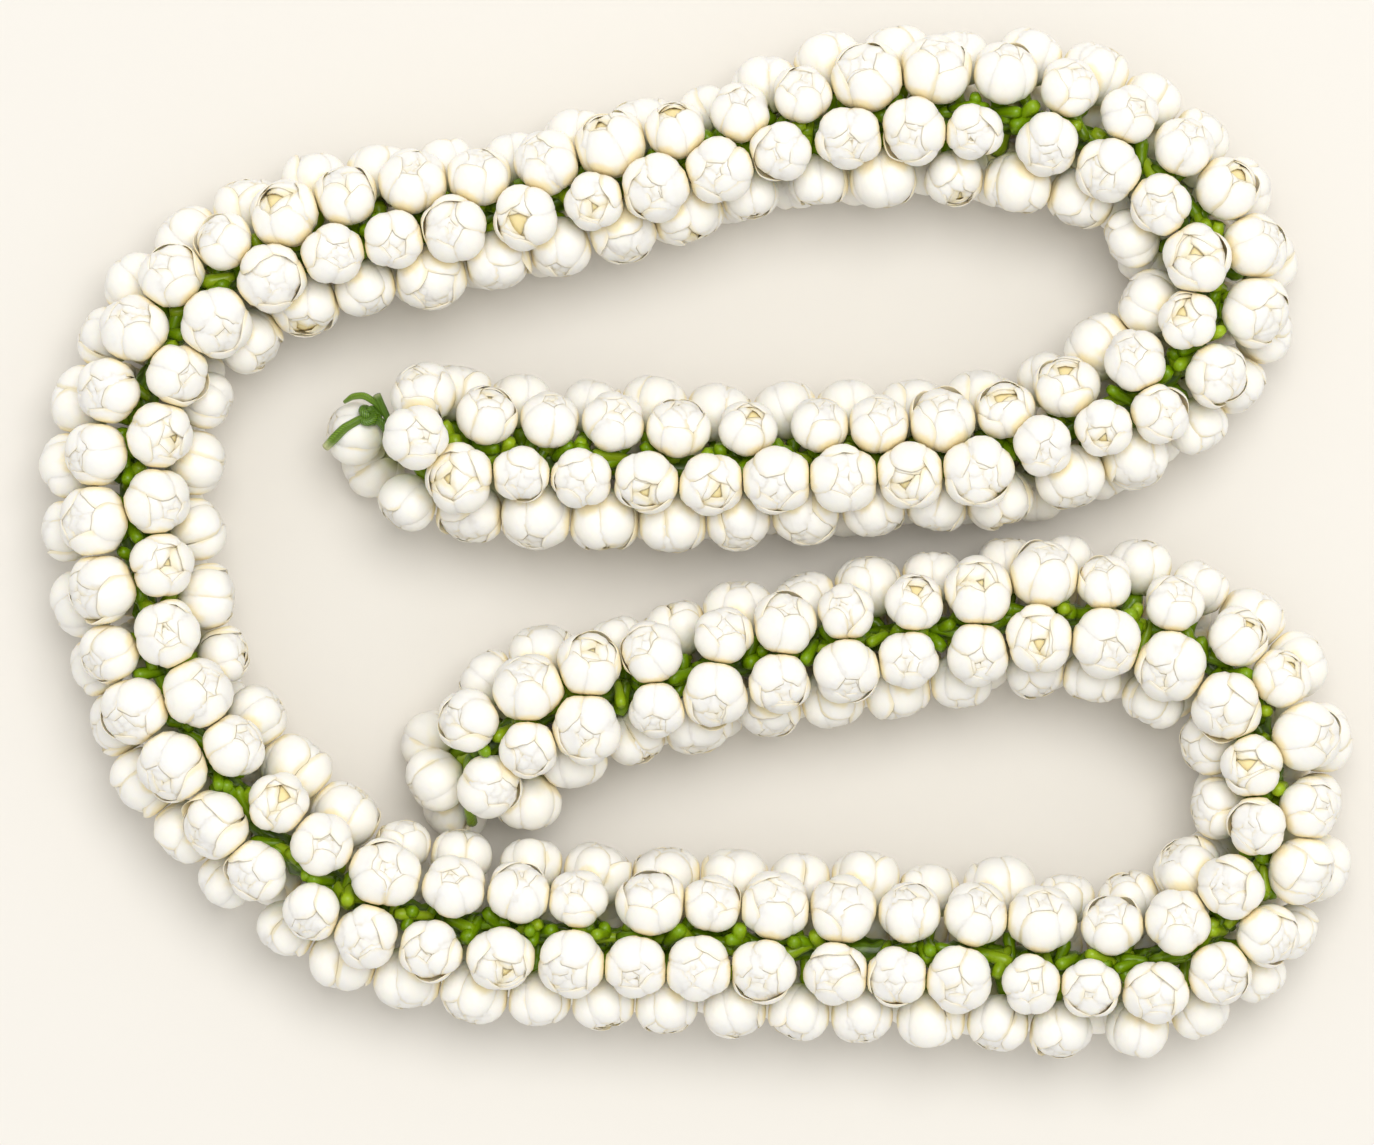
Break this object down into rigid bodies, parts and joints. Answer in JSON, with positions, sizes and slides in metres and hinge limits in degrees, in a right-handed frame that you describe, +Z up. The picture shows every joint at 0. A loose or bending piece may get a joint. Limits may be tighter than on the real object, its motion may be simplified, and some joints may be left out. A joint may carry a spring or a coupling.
{
  "type": "jasmine garland",
  "caption": "Open-ended flower string of round double-jasmine buds tied by their green stalks, laid flat in a long winding course, with a small knot at one end.",
  "frame": {"origin": "middle of the footprint, at the plane the garland lies on", "axes": "+X along the long way of the footprint, +Y across it, +Z up from the plane it lies on"},
  "size_m": [0.2782, 0.2194, 0.042],
  "materials": {
    "petal": "waxy satin petals, cream in the folds",
    "stalk": "smooth, glossy green",
    "string": "twisted plant fibre, slightly glossy"
  },
  "bodies": {
    "root": {"buds_01": "petal", "stalks_01": "stalk", "buds_02": "petal", "stalks_02": "stalk", "buds_03": "petal", "stalks_03": "stalk", "buds_04": "petal", "stalks_04": "stalk", "buds_05": "petal", "stalks_05": "stalk", "buds_06": "petal", "stalks_06": "stalk", "buds_07": "petal", "stalks_07": "stalk", "buds_08": "petal", "stalks_08": "stalk", "buds_09": "petal", "stalks_09": "stalk", "buds_10": "petal", "stalks_10": "stalk", "buds_11": "petal", "stalks_11": "stalk", "buds_12": "petal", "stalks_12": "stalk", "buds_13": "petal", "stalks_13": "stalk", "buds_14": "petal", "stalks_14": "stalk", "buds_15": "petal", "stalks_15": "stalk", "buds_16": "petal", "stalks_16": "stalk", "buds_17": "petal", "stalks_17": "stalk", "buds_18": "petal", "stalks_18": "stalk", "buds_19": "petal", "stalks_19": "stalk", "buds_20": "petal", "stalks_20": "stalk", "string": "string"}
  },
  "joints": []
}
